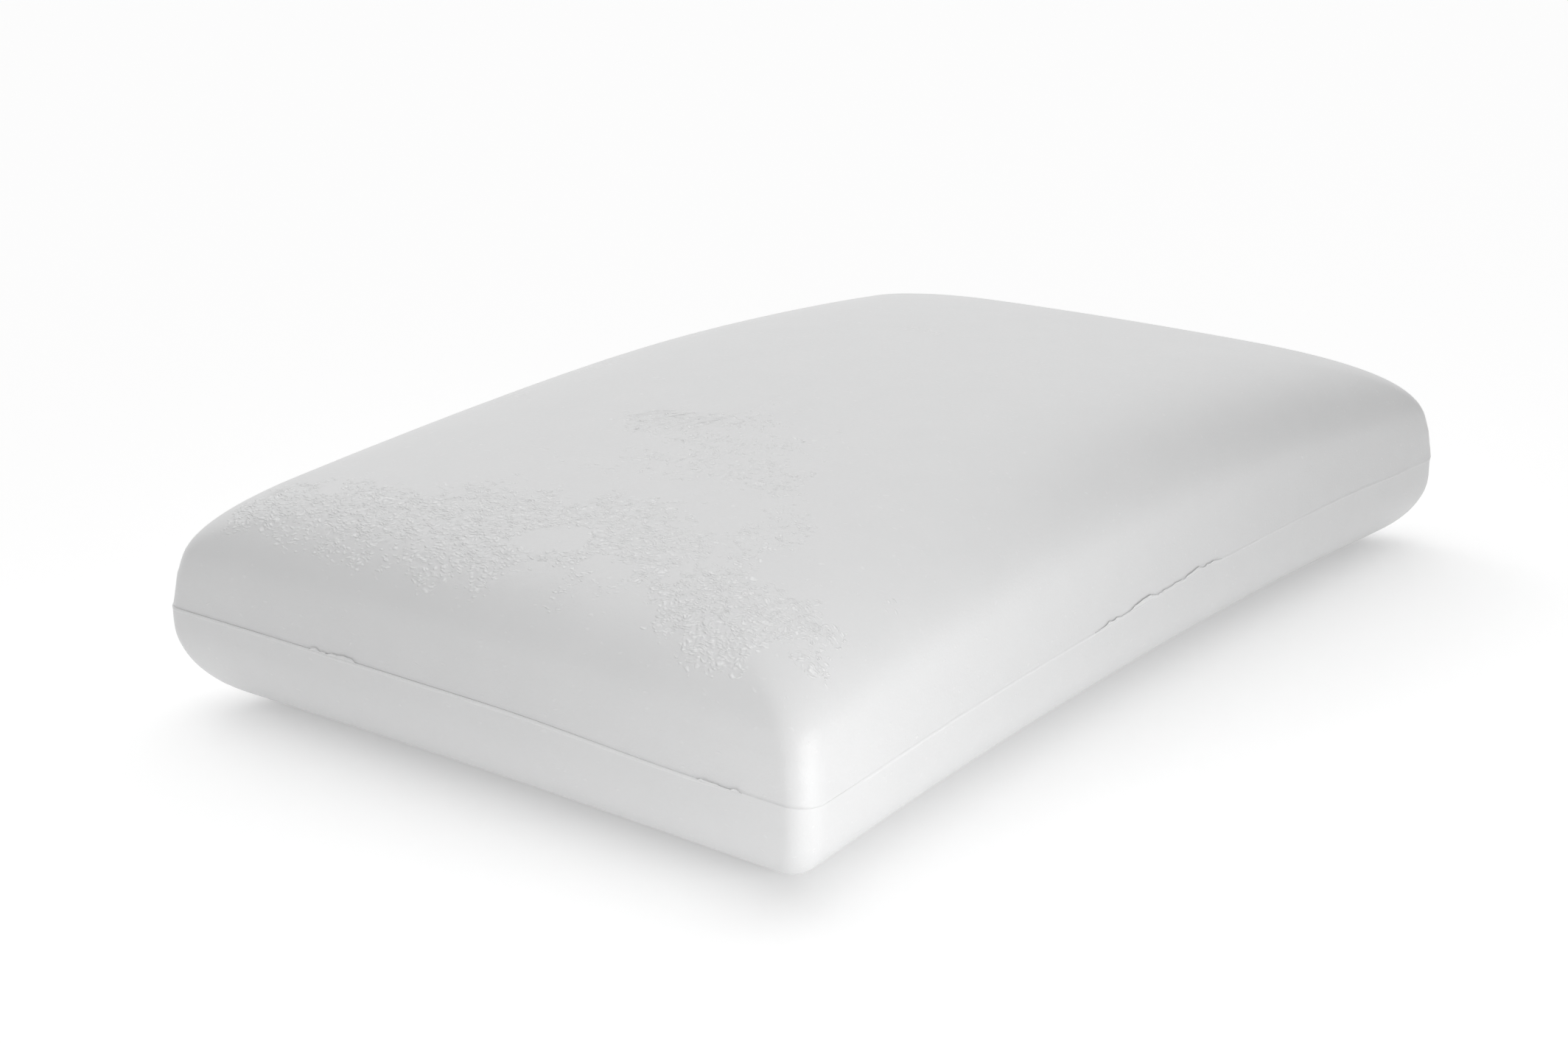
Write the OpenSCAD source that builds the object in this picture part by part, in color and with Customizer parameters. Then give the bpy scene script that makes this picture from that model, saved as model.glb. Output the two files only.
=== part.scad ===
// A moulded memory-foam pillow block: two foam layers in a moulded skin, with a parting line round the side.
// Millimetres. The block lies flat, long side along X, with its origin at the middle of the underside.

/* [Block] */
// Overall length, over the parting bead
block_l = 640; // [560:5:720]
// Overall width at the two ends, over the parting bead
block_w = 400; // [340:5:460]
// Overall height at the middle of the crown
block_h = 140; // [120:1:170]
// Height of the parting plane, where the two mould halves meet
part_z = 54; // [52:1:64]
// Corner radius of the outline at the parting plane
corner_r = 14; // [12:1:24]
// How far each long side pulls in at mid-length
side_pull = 13; // [0:1:18]
// How far each end pulls in at mid-width
end_pull = 2; // [0:0.5:8]

/* [Top half] */
// Height of the drafted wall above the parting plane
wall_h = 34; // [20:1:44]
// How far that wall leans in over its height
wall_draft = 5; // [2:0.5:8]
// Squareness of the shoulder, seen in section
shoulder_n = 5.6; // [4:0.1:7]
// Fullness of the shoulder where it leaves the wall
shoulder_m = 2.4; // [1.8:0.1:3]
// Share of the top half's rise that is lost at the two ends
end_fall = 0.3; // [0:0.02:0.4]
// Share of the top half's rise that is lost at the two long sides
side_fall = 0.07; // [0:0.01:0.2]

/* [Bottom half] */
// Width of the rounding under the block
round_w = 54; // [30:1:60]
// Height of that rounding
round_h = 48; // [30:1:48]
// Depth trimmed off the underside, so that it lies flat
sole_trim = 0.5; // [0.2:0.1:1]

/* [Skin and foam] */
// Thickness of the moulded skin
skin_t = 2.5; // [1.5:0.5:4]
// Clearance between the skin and the foam inside it
core_gap = 0.2; // [0.1:0.1:0.5]
// Thickness of the bond between the two foam layers
bond_t = 0.6; // [0.4:0.1:1]
// Height of the groove between the two halves
groove_h = 0.4; // [0.3:0.1:1]

/* [Parting line] */
// How far the bead stands out below the groove
bead_d = 1; // [0.9:0.1:2]
// Height of the bead
bead_h = 1.6; // [1:0.1:2]
// Depth of the bead's top below the parting plane
bead_drop = 0.4; // [0.2:0.1:1]
// Height of the torn flash at its tallest
flash_h = 3; // [1:0.5:5]
// Thickness of the torn flash
flash_t = 0.5; // [0.3:0.1:0.6]

/* [Hidden] */

half_l = block_l / 2 - bead_d;
half_w = block_w / 2 - bead_d;
top_z = part_z + groove_h;
rise = block_h - top_z;
core_inset = skin_t + core_gap;
bead_top = part_z - bead_drop;

// Steps along an end, round a corner and along a side, for a quarter of the outline
end_n = 4;
corner_n = 4;
side_n = 8;
quarter_n = end_n + corner_n + side_n;
ring_n = 4 * quarter_n;

// Rings up the wall, over the shoulder and round the underside
wall_rings = 3;
shoulder_rings = 11;
round_rings = 7;

// Share of the inset by which a corner opens over the shoulder or closes under the block
corner_open = 0.33;
corner_close = 0.15;
corner_min = 2;

// The last ring of the crown stops just short of the block's middle line
crown_reach = 0.97;

// Clearance that keeps the flash off the wall behind it
flash_gap = 0.2;
flash_step = 4;
// Where the flash stays on the near long side, and its two scraps on the left end
side_flash_x = [-70, 62];
end_flash_y = [[-164, -140], [62, 94]];

// --- Outline -----------------------------------------------------------------

function bulge(u) = max(0, 1 - u * u);

// Pulls a plan point in, most at the middle of its side or end
function pulled(p) = [
    p[0] * (1 - end_pull / half_l * bulge(p[1] / half_w)),
    p[1] * (1 - side_pull / half_w * bulge(p[0] / half_l))
];

// A quarter of a rounded rectangle, from the X axis round to the Y axis
function quarter(hx, hy, r) = concat(
    [for (i = [0 : end_n - 1]) [hx, (hy - r) * i / end_n]],
    [for (i = [0 : corner_n])
        let (a = 90 * i / corner_n) [hx - r + r * cos(a), hy - r + r * sin(a)]],
    [for (i = [1 : side_n]) [(hx - r) * (1 - i / side_n), hy]]
);

// The whole outline, set in from the block's own; a negative inset stands outside it
function outline(inset, r) =
    let (hx = half_l - inset, hy = half_w - inset, q = quarter(hx, hy, min(r, hy * 0.9)))
    concat(
        q,
        [for (i = [quarter_n - 1 : -1 : 0]) [-q[i][0], q[i][1]]],
        [for (i = [1 : quarter_n]) [-q[i][0], -q[i][1]]],
        [for (i = [quarter_n - 1 : -1 : 1]) [q[i][0], -q[i][1]]]
    );

// --- Rings -------------------------------------------------------------------

function level_ring(inset, r, z) = [
    for (p = outline(inset, r)) let (q = pulled(p)) [q[0], q[1], z]
];

// Share of the rise that is left at a plan point, so that the top is crowned both ways
function crown(p) = 1 - end_fall * pow(p[0] / half_l, 2) - side_fall * pow(p[1] / half_w, 2);

function top_ring(inset, up) = [
    for (p = outline(inset, corner_r + corner_open * inset))
        let (q = pulled(p)) [q[0], q[1], top_z + up * crown(p)]
];

function bottom_ring(inset, z) =
    level_ring(inset, max(corner_min, corner_r - corner_close * inset), z);

// Share of the shoulder's rise that is reached at a share of the way in
function shoulder(t) = pow(1 - pow(1 - t, shoulder_n), 1 / shoulder_m);

// The top half from the foot of its wall to its crown, set in by depth
function top_rings(depth) =
    let (reach = half_w - depth - wall_draft)
    concat(
        [for (i = [0 : wall_rings - 1])
            let (s = i / wall_rings) top_ring(depth + s * wall_draft, s * wall_h)],
        [for (i = [0 : shoulder_rings])
            let (t = crown_reach * pow(i / shoulder_rings, 2))
            top_ring(depth + wall_draft + t * reach, wall_h + (rise - depth - wall_h) * shoulder(t))]
    );

// The bottom half from its sole to its rim, set in by depth
function bottom_rings(depth, sole, rim) = concat(
    [for (i = [round_rings : -1 : 0])
        let (a = 90 * i / round_rings)
        bottom_ring(depth + (round_w - depth) * (1 - cos(a)), sole + (round_h - sole) * (1 - sin(a)))],
    [bottom_ring(depth, rim)]
);

function reversed(list) = [for (i = [len(list) - 1 : -1 : 0]) list[i]];

// --- Lofts -------------------------------------------------------------------

// Triangles from a face's first point to each of its other edges
function fan(face) = [for (i = [1 : len(face) - 2]) [face[0], face[i], face[i + 1]]];

// Closes the ring that starts at point number first: a fan at each end, and strips between them
function cap(first) =
    let (half = ring_n / 2, e = end_n + 1)
    [for (face = concat(
            fan(concat([e], [for (i = [-e : e - 1]) (i + ring_n) % ring_n])),
            [for (i = [e : half - e - 1]) [i, i + 1, ring_n - i - 1, ring_n - i]],
            fan([for (i = [half - e : half + e]) i])
        )) [for (i = face) first + i]];

// Two triangles for each step round a ring, from the ring at point number a to the one at b
function band(a, b, n) = [
    for (i = [0 : n - 1]) let (j = (i + 1) % n) each [[a + i, b + i, b + j], [a + i, b + j, a + j]]
];

// A closed solid through a stack of rings. A shell's stack runs along one face and back along the other.
module loft(rings) {
    last = (len(rings) - 1) * ring_n;
    walls = [for (k = [0 : len(rings) - 2]) each band(k * ring_n, (k + 1) * ring_n, ring_n)];
    polyhedron(
        points = [for (ring = rings) each ring],
        faces = concat(cap(0), walls, [for (f = cap(last)) reversed(f)])
    );
}

// A closed hoop, whose section is a loop of [distance out, height] points
module hoop(section) {
    n = len(section);
    polyhedron(
        points = [for (s = section) each level_ring(-s[0], corner_r + s[0], s[1])],
        faces = [for (k = [0 : n - 1]) each band(k * ring_n, (k + 1) % n * ring_n, ring_n)]
    );
}

// --- Foam --------------------------------------------------------------------

module upper_skin() {
    color("whitesmoke") loft(concat(reversed(top_rings(skin_t)), top_rings(0)));
}

module comfort_layer() {
    color("white") loft(top_rings(core_inset));
}

module bond_film() {
    outline_points = [for (p = outline(core_inset, corner_r)) pulled(p)];
    color("khaki") translate([0, 0, part_z - bond_t]) linear_extrude(bond_t) polygon(outline_points);
}

module support_layer() {
    color("gainsboro") loft(bottom_rings(core_inset, core_inset, part_z - bond_t));
}

module lower_skin() {
    outside = bottom_rings(0, -sole_trim, part_z);
    inside = reversed(bottom_rings(skin_t, skin_t, part_z));
    color("whitesmoke") difference() {
        loft(concat(outside, inside));
        translate([-block_l, -block_w, -block_h]) cube([2 * block_l, 2 * block_w, block_h]);
    }
}

// --- Parting line ------------------------------------------------------------

module parting_bead() {
    foot = bead_top - bead_h;
    color("white") hoop([[0, foot], [bead_d, foot + bead_h / 3], [bead_d, bead_top], [0, bead_top]]);
}

// Height of the torn edge at a step along it, nothing like even and low at both ends
function torn(i, n) =
    let (ends = min(1, min(i + 1, n - i) / 4))
    flash_h * ends * (0.55 + 0.28 * sin(i * 77) + 0.17 * sin(i * 151 + 40));

// A strip of flash on the bead, along plan points that stand on the outline
module flash(inner, outer) {
    n = len(inner);
    points = [
        for (i = [0 : n - 1])
            let (top = bead_top + torn(i, n))
            each [
                [inner[i][0], inner[i][1], bead_top],
                [outer[i][0], outer[i][1], bead_top],
                [outer[i][0], outer[i][1], top],
                [inner[i][0], inner[i][1], top]
            ]
    ];
    last = 4 * (n - 1);
    sides = [for (k = [0 : n - 2]) each band(4 * k, 4 * (k + 1), 4)];
    polyhedron(
        points = points,
        faces = concat([[0, 1, 2, 3]], sides, [[last + 3, last + 2, last + 1, last]])
    );
}

module side_flash() {
    xs = [side_flash_x[0] : flash_step : side_flash_x[1]];
    color("ivory") flash(
        [for (x = xs) pulled([x, -half_w - flash_gap])],
        [for (x = xs) pulled([x, -half_w - flash_gap - flash_t])]
    );
}

module end_flash() {
    color("ivory") for (span = end_flash_y) {
        ys = [span[1] : -flash_step : span[0]];
        flash(
            [for (y = ys) pulled([-half_l - flash_gap, y])],
            [for (y = ys) pulled([-half_l - flash_gap - flash_t, y])]
        );
    }
}

upper_skin();
comfort_layer();
bond_film();
support_layer();
lower_skin();
parting_bead();
side_flash();
end_flash();
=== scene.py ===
import math

import bmesh
import bpy
import numpy as np
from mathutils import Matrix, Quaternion, Vector


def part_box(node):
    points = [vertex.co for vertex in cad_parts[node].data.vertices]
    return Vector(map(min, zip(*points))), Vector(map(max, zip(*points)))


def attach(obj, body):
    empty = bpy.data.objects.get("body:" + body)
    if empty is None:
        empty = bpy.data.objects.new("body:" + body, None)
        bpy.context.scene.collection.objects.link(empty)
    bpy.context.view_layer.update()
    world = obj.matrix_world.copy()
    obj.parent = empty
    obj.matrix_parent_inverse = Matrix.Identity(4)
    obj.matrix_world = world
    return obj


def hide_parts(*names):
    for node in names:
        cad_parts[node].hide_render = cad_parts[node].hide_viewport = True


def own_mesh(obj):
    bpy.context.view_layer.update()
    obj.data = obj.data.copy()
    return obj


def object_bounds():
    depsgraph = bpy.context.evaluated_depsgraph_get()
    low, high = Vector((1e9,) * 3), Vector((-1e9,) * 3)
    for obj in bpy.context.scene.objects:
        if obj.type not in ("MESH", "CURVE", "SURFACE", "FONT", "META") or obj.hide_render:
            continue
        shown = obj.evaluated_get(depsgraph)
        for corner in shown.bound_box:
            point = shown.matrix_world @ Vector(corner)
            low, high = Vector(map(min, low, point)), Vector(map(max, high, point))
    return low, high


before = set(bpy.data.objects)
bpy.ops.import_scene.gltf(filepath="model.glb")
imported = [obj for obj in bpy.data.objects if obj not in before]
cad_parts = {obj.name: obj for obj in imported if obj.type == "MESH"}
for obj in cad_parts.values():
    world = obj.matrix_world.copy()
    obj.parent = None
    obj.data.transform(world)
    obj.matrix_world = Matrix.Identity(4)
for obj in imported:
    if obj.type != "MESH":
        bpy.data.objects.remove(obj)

cad_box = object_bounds()

# A bare moulded block of memory foam: an upper and a lower foam skin that meet at a parting line,
# with the mould's bead and torn flash along it, and two foam layers and their bond film inside.
# Lengths are in metres; most are written as a number of millimetres times MM.
MM = 0.001

# ---------------------------------------------------------------- sizes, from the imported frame

UPPER_LOW, UPPER_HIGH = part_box("upper_skin")
BEAD_LOW, BEAD_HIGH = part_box("parting_bead")
COMFORT_LOW, COMFORT_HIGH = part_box("comfort_layer")
SUPPORT_LOW, SUPPORT_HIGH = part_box("support_layer")
BOND_LOW, BOND_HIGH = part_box("bond_film")
SIDE_LOW, SIDE_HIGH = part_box("side_flash")
TOP_Z = UPPER_HIGH.z
SEAM_TOP = UPPER_LOW.z
SEAM_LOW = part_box("lower_skin")[1].z

# The outline: a rounded rectangle whose ends and long sides pull in between its corners
HALF_L = UPPER_HIGH.x + 0.3 * MM
HALF_W = UPPER_HIGH.y + 0.1 * MM
CORNER_R = 13.2 * MM
# A corner's radius is at most this share of half the width
CORNER_LIMIT = 0.9
END_PULL = 2 * MM
SIDE_PULL = 13 * MM

# The upper half's section: a drafted wall, then a shoulder that flattens into the crown. The
# crown falls away to the ends and a little to the sides, and its corners open as they rise.
WALL_H = 27 * MM
WALL_DRAFT = 4 * MM
RISE = TOP_Z - SEAM_TOP
SHOULDER_N = 7.1
SHOULDER_M = 2.1
END_FALL = 0.305
END_POWER = 1.8
SIDE_FALL = 0.056
CROWN_REACH = 0.97
CORNER_OPEN = 0.77

# The lower half's section: an upright rim, a long rounding and a flat sole. Its corners close
# as they go under the block.
ROUND_W = 53 * MM
ROUND_H = 44 * MM
SOLE_TRIM = 0.5 * MM
CORNER_CLOSE = 0.26
CORNER_MIN = 2 * MM

SKIN_T = 2.5 * MM
CORE_DEPTH = 2.7 * MM

# The roundings where the two halves meet: the upper edge is sharp and the lower one soft
UPPER_LIP = 0.12 * MM
LOWER_LIP = 0.6 * MM
# The upper half's lip comes down this far to meet the lower one, so that the groove is shallow,
# and on the -X end the lower one comes up a little too
LIP_DROP = 0.36 * MM
LIP_RISE = 0.02 * MM
# How far the upper edge flares out just above the parting line on the -X end, and its height
FLARE = 0.35 * MM
FLARE_H = 1.8 * MM
# How far the ridge under the parting line stands out
RIDGE_PROUD = 0.3 * MM

# How much fuller the corners are than the sides: the shoulder, the rounding under it, and the
# rounding under the +X, -Y corner, and how far round a corner that reaches
UPPER_FULL = 1.5 * MM
LOWER_FULL = 1.3 * MM
FRONT_FULL = 3.2 * MM
FULL_REACH = 100 * MM

# The parting line dips near the -Y side: how far at each x, both in millimetres
DIP_X = (-320, -285, -240, -200, -60, 0, 40, 205, 260, 320)
DIP = (2.9, 3.3, 2.9, 2.4, 2.2, 0.8, 0, 0, 1.6, 1.9)

# The torn flash: its thickness at the root, the spacing of its points and the rows up its height,
# and the scraps on the -X end as (start, end, share of the full height, seed), ends in millimetres
FLASH_T = 0.32 * MM
FLASH_STEP = 0.55 * MM
FLASH_ROWS = 6
END_SCRAPS = [(-164, -140, 0.6, 331), (62, 94, 0.7, 351)]


# ---------------------------------------------------------------- noise

def hashed(cell, seed):
    """A fixed pseudo-random number from 0 to 1 for each whole-number cell."""
    c = cell.astype(np.int64)
    n = c[..., 0] * 73856093 ^ c[..., 1] * 19349663 ^ c[..., 2] * 83492791 ^ (seed * 2654435761)
    n = (n ^ (n >> 13)) * 1274126177 & 0xFFFFFFFF
    n = (n ^ (n >> 16)) * 2246822519 & 0xFFFFFFFF
    return ((n ^ (n >> 15)) & 0xFFFFFF) / float(0x1000000)


def noise(points, size, seed=1):
    """Smooth noise from 0 to 1 with features of that size."""
    p = points / size
    low = np.floor(p)
    f = p - low
    f = f * f * f * (f * (f * 6 - 15) + 10)
    total = np.zeros(len(p))
    for corner in np.ndindex(2, 2, 2):
        share = np.prod(np.where(corner, f, 1 - f), axis=1)
        total += share * hashed(low + corner, seed)
    return total


def layered(points, size, seed=1, octaves=3):
    """Noise with finer and weaker noise on top, from 0 to 1."""
    weights = [0.5 ** i for i in range(octaves)]
    layers = [w * noise(points, size / 2 ** i, seed + i) for i, w in enumerate(weights)]
    return sum(layers) / sum(weights)


def grains(points, size, seed=1, density=1.0):
    """Rounded bumps of that spacing, from 0 between them to 1 on top, each of its own height.
    Where density is below 1, only that share of the bumps is there."""
    p = points / size
    low = np.floor(p)
    best = np.full(len(p), 9.0)
    height, lot = np.zeros(len(p)), np.zeros(len(p))
    for shift in np.ndindex(3, 3, 3):
        cell = low + np.array(shift) - 1
        centre = cell + np.stack([hashed(cell, seed + i) for i in range(3)], axis=1)
        far = np.linalg.norm(p - centre, axis=1)
        nearer = far < best
        best = np.where(nearer, far, best)
        height = np.where(nearer, 0.45 + 0.55 * hashed(cell, seed + 3), height)
        lot = np.where(nearer, hashed(cell, seed + 4), lot)
    there = ease(-0.06, 0.06, density * 1.12 - 0.06 - lot)
    return there * height * np.clip(1 - (best / 0.75) ** 2, 0, 1)


def ease(low, high, value):
    """0 below low, 1 above high and a smooth step in between."""
    t = np.clip((value - low) / (high - low), 0, 1)
    return t * t * (3 - 2 * t)


# ---------------------------------------------------------------- the block's shape

def bulge(u):
    """1 in the middle of a side and 0 at its ends, u = -1 and 1."""
    return np.maximum(0, 1 - u * u)


def on_left_end(points):
    """1 on the -X end, and 0 from 60 mm away from it."""
    return ease(HALF_L - 60 * MM, HALF_L - 12 * MM, -points[:, 0])


def outline(u, inset, radius):
    """A rounded rectangle. u runs 0 to 4 round it from the middle of the +X end, one unit a quarter."""
    half_x, half_y = HALF_L - inset, HALF_W - inset
    radius = np.minimum(radius, CORNER_LIMIT * half_y)
    quarter = np.clip(np.floor(u), 0, 3)
    part = u - quarter
    share = np.where(quarter % 2 == 0, 1 - part, part)
    flat_x, flat_y, bend = half_x - radius, half_y - radius, radius * math.pi / 2
    run = share * (flat_x + bend + flat_y)
    angle = np.clip((run - flat_x) / radius, 0, math.pi / 2)
    x = np.minimum(run, flat_x) + radius * np.sin(angle)
    y = flat_y + radius * np.cos(angle) - np.maximum(run - flat_x - bend, 0)
    side_x = np.where((quarter == 0) | (quarter == 3), 1, -1)
    side_y = np.where(quarter < 2, 1, -1)
    return x * side_x, y * side_y


def pulled(x, y, z):
    """The mould's sides curve in between the corners."""
    px = x * (1 - END_PULL / HALF_L * bulge(y / HALF_W))
    py = y * (1 - SIDE_PULL / HALF_W * bulge(x / HALF_L))
    return np.stack([px, py, z], axis=1)


def crown(x, y):
    """The share of the crown's full height that is left at a place on plan."""
    return 1 - END_FALL * np.abs(x / HALF_L) ** END_POWER - SIDE_FALL * (y / HALF_W) ** 2


def corner_share(u):
    """1 at the outline's corners and less away from them, for all four and for the +X, -Y one."""
    x, y = outline(u, np.zeros_like(u), np.full_like(u, CORNER_R))
    every = np.exp(-((np.abs(x) - HALF_L) ** 2 + (np.abs(y) - HALF_W) ** 2) / FULL_REACH ** 2)
    front = np.exp(-((x - HALF_L) ** 2 + (y + HALF_W) ** 2) / FULL_REACH ** 2)
    return every, front


def dipped(points):
    """Lowers the parting line along the -Y side, fading out above and below it."""
    drop = MM * np.interp(points[:, 0] / MM, DIP_X, DIP) * ease(20 * MM, 140 * MM, -points[:, 1])
    near = (1 - ease(SEAM_TOP, SEAM_TOP + 46 * MM, points[:, 2])) * ease(4 * MM, SEAM_LOW, points[:, 2])
    lowered = points.copy()
    lowered[:, 2] -= drop * near
    return lowered


class Section:
    """A half section as a run of (inset, height) points, looked up by the distance along it."""

    def __init__(self, *runs):
        points = np.concatenate([np.asarray(r, float) for r in runs])
        gaps = np.linalg.norm(np.diff(points, axis=0), axis=1)
        keep = np.concatenate([[True], gaps > 1e-9])
        self.points = points[keep]
        lengths = np.linalg.norm(np.diff(self.points, axis=0), axis=1)
        self.run = np.concatenate([[0], np.cumsum(lengths)])
        self.length = self.run[-1]

    def at(self, v):
        """The inset and the height at a distance along the section."""
        return np.interp(v, self.run, self.points[:, 0]), np.interp(v, self.run, self.points[:, 1])

    def where(self, inset, height):
        """The distance along the section of its point nearest to this one."""
        far = np.linalg.norm(self.points - np.array([inset, height]), axis=1)
        return self.run[far.argmin()]


def hull(profile):
    """The profile without its hollows, so that the wall runs straight into the shoulder."""
    kept = []
    for point in profile:
        while len(kept) > 1:
            before, last = kept[-1] - kept[-2], point - kept[-1]
            if before[0] * last[1] - before[1] * last[0] <= 0:
                break
            kept.pop()
        kept.append(point)
    return np.array(kept)


def softened(profile, reach=12 * MM, step=0.25 * MM):
    """The profile evened out along its length, with its two ends kept."""
    run = np.concatenate([[0], np.cumsum(np.linalg.norm(np.diff(profile, axis=0), axis=1))])
    even = np.arange(0, run[-1], step)
    line = np.stack([np.interp(even, run, profile[:, i]) for i in range(2)], axis=1)
    kernel = np.hanning((int(reach / step) | 1) + 2)[1:-1]
    kernel /= kernel.sum()
    smooth = np.stack([np.convolve(line[:, i], kernel, "same") for i in range(2)], axis=1)
    share = ease(0.5 * reach, 0.8 * reach, even) * ease(0.5 * reach, 0.8 * reach, run[-1] - even)
    return np.concatenate([line + share[:, None] * (smooth - line), profile[-1:]])


def upper_profile(count=3000):
    """The outer face of the upper half, from the top of its lip to the crown."""
    up = np.linspace(UPPER_LIP - LIP_DROP, WALL_H, count // 4)
    wall = np.stack([WALL_DRAFT * up / WALL_H, up], axis=1)
    t = CROWN_REACH * np.linspace(0, 1, count) ** 2.4
    rise = WALL_H + (RISE - WALL_H) * (1 - (1 - t) ** SHOULDER_N) ** (1 / SHOULDER_M)
    inset = WALL_DRAFT + t * (HALF_W - WALL_DRAFT)
    return softened(hull(np.concatenate([wall, np.stack([inset, rise], axis=1)[1:]])))


def lower_profile(count=1200):
    """The outer face of the lower half, from under its lip down the rim and round to the sole."""
    rim = np.linspace(SEAM_LOW - LOWER_LIP, ROUND_H, 40)
    turn = np.radians(np.linspace(0, 90, count))
    inset = ROUND_W * (1 - np.cos(turn))
    height = -SOLE_TRIM + (ROUND_H + SOLE_TRIM) * (1 - np.sin(turn))
    keep = height > 0
    edge = inset[keep][-1]
    reach = CROWN_REACH * HALF_W
    sole = np.stack([np.linspace(edge, reach, 60), np.zeros(60)], axis=1)
    return np.concatenate(
        [np.stack([0 * rim, rim], axis=1), np.stack([inset, height], axis=1)[keep], sole[1:]]
    )


def inside(profile, depth, floor=None, roof=None):
    """The profile moved into the foam by depth, cut off at a level floor or roof."""
    along = np.gradient(profile, axis=0)
    along /= np.linalg.norm(along, axis=1)[:, None]
    up_the_wall = profile[-1, 1] > profile[0, 1]
    inward = np.stack([along[:, 1], -along[:, 0]], axis=1) * (1 if up_the_wall else -1)
    moved = profile + depth * inward
    if floor is not None:
        moved = moved[moved[:, 1] > floor]
        moved = np.concatenate([[[moved[0, 0], floor]], moved])
    if roof is not None:
        moved = moved[moved[:, 1] < roof]
        moved = np.concatenate([[[moved[0, 0], roof]], moved])
    return moved


def lip(level, radius, sign):
    """The small rounding where a half's wall turns in to the parting plane: sign 1 turns up."""
    angles = np.radians(np.linspace(0, 90, 12))
    return np.stack([radius * (1 - np.sin(angles)), level + sign * radius * (1 - np.cos(angles))], axis=1)


def upper_place(u, inset, up):
    """Places of the upper half, at heights up above the parting plane."""
    every, _ = corner_share(u)
    fuller = np.clip(inset / (3 * MM), 0, 1) * np.clip(1 - inset / (60 * MM), 0, 1)
    inset = inset - UPPER_FULL * every * fuller
    x, y = outline(u, inset, CORNER_R + CORNER_OPEN * inset)
    return dipped(pulled(x, y, SEAM_TOP + up * crown(x, y)))


def lower_place(u, inset, z):
    """Places of the lower half, at heights z above the floor."""
    every, front = corner_share(u)
    fuller = np.sin(math.pi * np.clip(inset / (110 * MM), 0, 1))
    inset = inset - (LOWER_FULL * every + FRONT_FULL * front) * fuller
    x, y = outline(u, inset, np.maximum(CORNER_MIN, CORNER_R - CORNER_CLOSE * inset))
    return dipped(pulled(x, y, z))


def groove_open(points):
    """How open the parting groove is: widest on the -X end, almost closed at the -X, -Y corner."""
    far = np.linalg.norm(points[:, :2] + np.array([HALF_L, HALF_W]), axis=1)
    on_end = ease(HALF_L - 9 * MM, HALF_L - 3 * MM, -points[:, 0])
    share = 0.1 + (0.22 + 0.2 * on_end) * ease(8 * MM, 80 * MM, far)
    return share * (0.6 + 0.8 * layered(points, 30 * MM, 111, 2))


def mould_slip(points):
    """The lower mould half sat slightly off the upper one: its lip is 0.25 to 0.75 mm further
    to -X, least on the -Y side, and up to 0.4 mm further to +Y towards the +X end."""
    near = ease(SEAM_LOW - 26 * MM, SEAM_LOW - 5 * MM, points[:, 2])
    proud = 0.25 + 0.5 * ease(-HALF_W + 20 * MM, -20 * MM, points[:, 1])
    moved = points.copy()
    moved[:, 0] -= MM * proud * near
    moved[:, 1] += 0.2 * MM * (1 + points[:, 0] / HALF_L) * near
    moved[:, 2] += LIP_RISE * on_left_end(points) * near
    return moved


def flare(up):
    """How far the -X wall turns out at a height above the parting line."""
    return FLARE * np.clip(1 - (up + LIP_DROP) / FLARE_H, 0, 1) ** 2


def flared(points, up, outer):
    """The upper half's edge turns out a little on the -X end, to meet the proud lower lip."""
    moved = points.copy()
    moved[:, 0] -= flare(up) * on_left_end(points) * outer
    return moved


# ---------------------------------------------------------------- surface marks

# Patches of fine wrinkles in the skin, in millimetres on plan. The band lies along the shoulder
# of the -X end as (x, y, half width); the others are (x, y, half length, half width, turn, depth).
BAND = [(-284, 152, 20), (-281, 108, 24), (-275, 60, 29), (-263, 15, 35), (-254, -30, 36), (-250, -72, 25)]
SWIRL = (-277, -129, 51, 28, 90, 1.0)
CENTRE = (-168, -25, 108, 44, 51, 0.5)
FAR_STREAK = (-60, 136, 150, 12, 0, 0.22)
BACK_SPOT = (101, 34, 20, 9, 90, 0.35)
BARE_SPOT = (-266, -17, 17, 10, 110, 1.0)
BUMP_PATCH = (-292, -18, 60, 16, 95, 1)
# The swirl's ridges run round its eye, this far apart, in millimetres
SWIRL_EYE = (-279, -158)
RIDGE_STEP = 2.5

# The heights of the marks, and the wrinkles' size, waviness and stretch along each axis
WRINKLE_H = 0.4 * MM
WRINKLE_SIZE = 2.4 * MM
WRINKLE_BEND = 2.2 * MM
WRINKLE_STRETCH = (1.1, 0.7, 1.1)
BUMP_H = 0.4 * MM
UNEVEN_H = 0.2 * MM
DIMPLE_H = 0.16 * MM
DIMPLE_Z = 78 * MM
WEAR_H = 0.5 * MM


def in_patch(plan, patch):
    """1 in the middle of an oval patch, 0 on its edge and less outside."""
    x, y, half_a, half_b, turn, _ = patch
    c, s = math.cos(math.radians(turn)), math.sin(math.radians(turn))
    dx, dy = plan[:, 0] - x, plan[:, 1] - y
    return 1 - np.hypot((dx * c + dy * s) / half_a, (dy * c - dx * s) / half_b)


def in_band(plan):
    """1 on the middle of the band and 0 on its edge."""
    best = np.full(len(plan), -9.0)
    for a, b in zip(BAND, BAND[1:]):
        start, end = np.array(a[:2], float), np.array(b[:2], float)
        way = end - start
        t = np.clip((plan - start) @ way / (way @ way), 0, 1)
        far = np.linalg.norm(plan - start - t[:, None] * way, axis=1)
        best = np.maximum(best, 1 - far / (a[2] + t * (b[2] - a[2])))
    return best


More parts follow.
